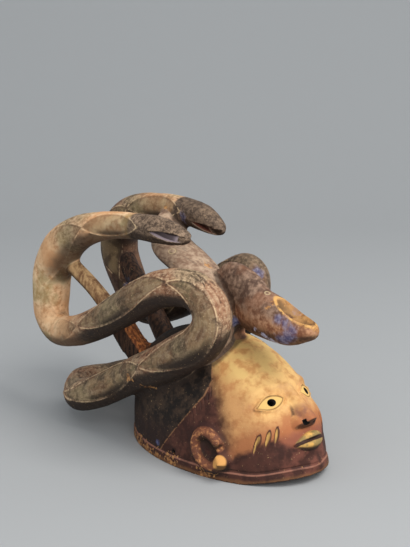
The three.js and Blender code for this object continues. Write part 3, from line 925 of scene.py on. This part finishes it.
paint = bpy.data.materials.new("worn paint on carved wood")
paint.use_nodes = True
Wire.tree = paint.node_tree
place = Wire.node("TexCoord", {}, {}, 3)
along_body = pressed(kept("body", 1), (0.00016, 0.001, 0.001))
up_block = pressed(place, (1, 1, 0.25))
cloud, blotch, grit, fleck = noise(place, 60), noise(place, 16, 4), noise(place, 5, 4), noise(place, 2.2, 2)
streak, grain = noise(along_body, 5, 4), noise(up_block, 4, 4)
wander = (blotch - 0.5) * 10 + (grit - 0.5) * 5

# The snakes: taupe with red-brown and olive clouds, streaks of grain and flecks.
far = Wire.node("SeparateXYZ", {}, {0: place}, 0).rises(-0.001, 0.001)
along, line, under = kept("along"), kept("line"), kept("under")
ground = (0.5 * blotch + 0.7 * grit).rises(0.46, 0.74).over(tint(90, 69, 53), tint(172, 142, 112))
ground = ((cloud + 0.3 * blotch).rises(0.6, 0.76) * 0.65).over(ground, tint(146, 98, 70))
ground = (cloud.rises(0.5, 0.4) * 0.35).over(ground, tint(116, 106, 78))
ground = ((streak + 0.3 * grit).rises(0.62, 0.8) * 0.5).over(ground, tint(182, 154, 124))
ground = ((streak + 0.4 * grit).rises(0.68, 0.54) * 0.55).over(ground, tint(62, 48, 38))
ground = ((fleck + 0.4 * grit).rises(0.74, 0.9) * 0.5).over(ground, tint(196, 170, 140))
ground = ((fleck + 0.4 * blotch).rises(0.62, 0.5) * 0.45).over(ground, tint(52, 40, 31))

# A golden back on the near snake and a brown one on the far snake.
near_back = (1 - far) * along.rises(170, 240) * along.rises(480, 380)
gold_back = near_back + along.rises(84, 96) * along.rises(200, 150)
gold_paint = (0.6 * blotch + 0.7 * grit).rises(0.45, 0.85).over(tint(184, 134, 90), tint(246, 214, 172))
gold_paint = ((cloud + 0.4 * grit).rises(0.62, 0.86) * 0.8).over(gold_paint, tint(214, 158, 110))
gold_paint = (cloud.rises(0.48, 0.38) * 0.6).over(gold_paint, tint(150, 134, 86))
ground = ((1 - 0.4 * far) * gold_back * 0.9).over(ground, gold_paint)
far_back = far * along.rises(190, 240) * along.rises(500, 420)
ground = (far_back * 0.85).over(ground, blotch.rises(0.4, 0.6).over(tint(58, 38, 31), tint(104, 72, 54)))

# Olive in the incised ovals with a light ridge round them and painted shade just inside the line, dark
# speckled heads, and painted shade on the lower loops where they face down.
plain = 1 - 0.75 * near_back
ground = (line.rises(-0.4, -2) * plain * 0.55).over(ground, blotch.rises(0.4, 0.6).over(
    tint(78, 67, 48), tint(122, 110, 80)))
# A dark strip just inside each incised line is painted shade in the groove.
ground = (line.rises(-2.6, -0.6) * line.rises(0.2, -0.4) * plain * 0.4).over(ground, tint(52, 42, 33))
head_paint = (fleck * 0.4 + grit * 0.5 + blotch * 0.3).rises(0.45, 0.8).over(
    tint(64, 50, 40), tint(150, 126, 104))
ground = (far * along.rises(560, 600) * 0.55).over(ground, tint(80, 66, 55))
head_paint = (far * 0.35).over(head_paint, tint(66, 52, 42))
ground = (along + wander * 0.4).rises(94, 88).over(ground, head_paint)
ridge = abs(line - 1.0).rises(1.1, 0.3) * (blotch + 0.5 * grit).rises(0.62, 0.86) * along.rises(70, 75)
ground = (ridge * plain * 0.8).over(ground, tint(212, 184, 144))
# The lower loops are painted near black where they face down: painted shade under them.
painted_shade_below = along.rises(430, 480) * (under + wander * 0.02).rises(0.05, 0.35)
ground = (painted_shade_below * 0.8).over(ground, tint(38, 29, 24))

# The head: a dark cap, red temples, a golden face and a dark red jaw.
hair, up, side, field, eye = kept("hair"), kept("up"), kept("side"), kept("field"), kept("eye")
height = Wire.node("SeparateXYZ", {}, {0: place}, 2) * 1000
cap = (blotch + 0.4 * grit).rises(0.55, 0.85).over(tint(24, 17, 13), tint(60, 46, 36))
cap = ((grit + 0.5 * fleck).rises(0.86, 1.0) * 0.35).over(cap, tint(104, 78, 54))
cap = ((height + wander * 2).rises(62, 34) * 0.6).over(cap, tint(46, 28, 23))
temple = blotch.rises(0.4, 0.65).over(tint(52, 28, 22), tint(84, 50, 40))
ochre = (blotch + 0.4 * grit).rises(0.52, 0.82).over(tint(192, 140, 84), tint(226, 180, 116))
ochre = ((cloud + 0.4 * grit - 0.2).rises(0.5, 0.7) * 0.5).over(ochre, tint(176, 122, 90))
ochre = ((up + wander * 2).rises(112, 150) * blotch.rises(0.35, 0.6) * 0.5).over(ochre, tint(204, 176, 108))
ochre = (up + wander).rises(92, 60).over(ochre, tint(168, 104, 66))
ochre = (up + wander).rises(60, 48).over(ochre, tint(140, 82, 60))
ochre = (side.rises(38, 60) * 0.6).over(ochre, tint(160, 104, 66))
maroon = blotch.rises(0.4, 0.65).over(tint(64, 36, 29), tint(108, 64, 52))
# Towards the sides the maroon is painted darker, on the jaw and on the lip round the rim: painted shade.
maroon = (side.rises(24, 56) * 0.7).over(maroon, tint(52, 30, 24))
low_edge = up + wander * 0.8 - 20 * side.rises(18, 48)
face = low_edge.rises(40, 32).over(ochre, maroon)
face = (field + wander * 1.6).rises(15, -12).over(face, temple)
skin = (hair + wander * 0.1).rises(-0.6, 0.6).over(face, cap)
hair_edge = abs(hair + wander * 0.05).rises(1.5, 0.3) * grit.rises(0.36, 0.5)
skin = (hair_edge * 0.6).over(skin, tint(152, 108, 74))

# The eyes, the nose, the lips, the cheek marks, the ears and their lobes.
on_front = field.rises(4, 12)
eye_paint = (abs(eye - 2.4).rises(1.6, 0.2) * 0.75).over(tint(220, 180, 108), tint(126, 78, 48))
skin = (eye.rises(0, 2.5) * on_front).over(skin, eye_paint)
nose = side.rises(15, 9) * up.rises(54, 60) * up.rises(88, 76) * on_front
skin = (nose * (blotch + 0.2).rises(0.55, 0.8) * 0.8).over(skin, tint(128, 82, 68))
off_mouth = abs(up - 39.2)
lips = (off_mouth + side * side * 0.016 + wander * 0.15).rises(11.5, 9) * side.rises(26, 22) * on_front
lip_paint = (blotch + 0.3 * grit).rises(0.55, 0.75).over(tint(146, 122, 76), tint(214, 164, 88))
skin = lips.over(skin, (off_mouth + wander * 0.1).rises(1.6, 2.8).over(tint(60, 38, 32), lip_paint))
mark = kept("mark")
mark_paint = mark.rises(1.5, 2.8).over(tint(84, 50, 40), tint(214, 168, 96))
skin = (mark.rises(0.3, 1.2) * on_front).over(skin, mark_paint)
ear = kept("ear")
# A dark halo in and round each ear is painted shade in its hollows.
skin = (ear.rises(-9, -3) * 0.6).over(skin, tint(58, 32, 28))
skin = ear.rises(-1, 1.5).over(skin, grit.rises(0.48, 0.72).over(tint(106, 64, 46), tint(190, 130, 82)))
skin = kept("lobe").rises(0.1, 0.3).over(skin, tint(206, 150, 84))

# The lip round the rim, and the bare wood inside.
under_lip = kept("lip_top")
lip_edge = abs(under_lip - 0.8).rises(1.6, 0.4) * blotch.rises(0.2, 0.55)
band = (lip_edge * 0.6).over(maroon, tint(166, 114, 94))
band = ((under_lip + wander * 0.5).rises(6, 11) * 0.6).over(band, tint(126, 86, 54))
skin = (under_lip + wander * 0.05).rises(-0.6, 0.3).over(skin, band)
skin = kept("inside").over(skin, grain.rises(0.35, 0.65).over(tint(62, 44, 32), tint(98, 74, 52)))

# The animal, dull above and orange-red below, and the bar, the post, the arch and the rod.
beast = (0.5 * blotch + 0.6 * grit).rises(0.42, 0.7).over(tint(84, 62, 50), tint(150, 122, 102))
beast = (cloud.rises(0.5, 0.62) * 0.4).over(beast, tint(150, 100, 70))
beast = ((fleck + 0.4 * blotch).rises(0.64, 0.5) * 0.4).over(beast, tint(60, 42, 33))
red_side = (0.5 * blotch + 0.6 * grit).rises(0.42, 0.7).over(tint(124, 78, 54), tint(210, 154, 112))
beast = (height + wander * 3).rises(212, 182).over(beast, red_side)
wood = grain.rises(0.4, 0.62).over(tint(36, 24, 18), tint(74, 50, 36))
# The post: dark wood, with orange-brown on its faces that look up.
post_colour = (under + wander * 0.02).rises(-0.25, -0.45).over(
    wood, grain.rises(0.38, 0.66).over(tint(104, 56, 32), tint(190, 116, 62)))
throat = (0.5 * blotch + 0.5 * grit).rises(0.4, 0.62).over(tint(136, 108, 88), tint(178, 152, 128))
throat = (streak.rises(0.52, 0.66) * 0.4).over(throat, wood)
rod = (0.5 * grain + 0.5 * blotch).rises(0.4, 0.62).over(tint(116, 82, 54), tint(186, 150, 106))

rim_gold = abs(kept("scoop") - 1.2).rises(2.2, 0.6) * (blotch + 0.4 * grit).rises(0.5, 0.66)
beast = (rim_gold * 0.9).over(beast, tint(214, 164, 96))
scooped = (blotch + 0.5 * grit).rises(0.6, 0.85).over(tint(66, 44, 32), tint(166, 116, 70))
beast = kept("scoop").rises(0.3, -0.6).over(beast, scooped)

# All of them on the block, and the insides of the snakes' mouths.
colour = ground
for name, own in (
        ("head", skin), ("animal", beast), ("arch", throat), ("post", post_colour), ("bar", wood), ("rod", rod)):
    colour = (kept(name) + wander * 0.25).rises(-0.8, 0.8).over(colour, own)
deep = kept("deep")
# Inside the snakes' mouths the faces that look down are painted dark: painted shade.
mouth = under.rises(-0.1, 0.5).over(far.over(tint(176, 158, 164), tint(120, 66, 50)), tint(58, 40, 38))
mouth_edge = far.over(tint(186, 168, 164), tint(178, 140, 116))
colour = (abs(deep - 1.9).rises(0.9, 0.3) * 0.7).over(colour, mouth_edge)
colour = deep.rises(2.2, 3.2).over(colour, mouth)

# Over all of it: painted shade in the corners and below, wear of bare wood and flecks, blue, the cuts and
# rings, and the bores painted black inside as painted shade.
# Concave places are painted dark: painted shade in the corners.
colour = (kept("edge").rises(-0.9, -2.4) * 0.7).over(colour, tint(44, 32, 25))
# Faces that look down are painted dark: painted shade below.
colour = ((under + wander * 0.03).rises(0.0, 0.45) * 0.8).over(colour, tint(38, 28, 23))
bare = (kept("raw") * 1.4 + (grit - 0.5) * 4 + (fleck - 0.5) * 2).rises(0.5, 0.8)
colour = (bare * 0.8).over(colour, grit.rises(0.36, 0.66).over(tint(112, 68, 42), tint(190, 138, 84)))
colour = ((fleck + 0.25 * blotch).rises(0.82, 0.88) * 0.5).over(colour, tint(200, 166, 118))
touched = (kept("blue") * 1.4 + (blotch - 0.5) * 2.4 + (grit - 0.5) * 1.5).rises(0.0, 1.1) * 0.7
colour = touched.over(colour, grit.rises(0.4, 0.66).over(tint(62, 72, 116), tint(122, 124, 152)))
frost = (kept("frost") * 1.6 + (grit - 0.5) * 3).rises(0.1, 0.8) * 0.75
colour = frost.over(colour, tint(172, 178, 206))
colour = (kept("cut").rises(1.1, 0.3) * 0.75).over(colour, tint(44, 34, 28))
colour = (abs(kept("ring")).rises(1.3, 0.4) * 0.6).over(colour, tint(200, 178, 138))
# The bores are painted near black inside: painted shade in them.
colour = kept("hole").rises(-0.5, -0.1).over(colour, tint(14, 10, 9))

relief = 0.5 * blotch + 0.35 * grit + 0.3 * streak + 0.12 * fleck - 0.35 * bare
bump = Wire.node("Bump", {}, {"Strength": 0.8, "Distance": 0.0016, "Height": relief})
shader = Wire.tree.nodes["Principled BSDF"]
shader.inputs["Specular IOR Level"].default_value = 0.25
Wire.tree.links.new(colour.socket, shader.inputs["Base Color"])
Wire.tree.links.new((0.5 + 0.35 * blotch).socket, shader.inputs["Roughness"])
Wire.tree.links.new(bump.socket, shader.inputs["Normal"])

carving.data.materials.clear()
carving.data.materials.append(paint)
bpy.ops.object.select_all(action="DESELECT")
carving.select_set(True)
bpy.context.view_layer.objects.active = carving
bpy.ops.object.shade_smooth()
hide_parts("helmet_mask")
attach(carving, "root")
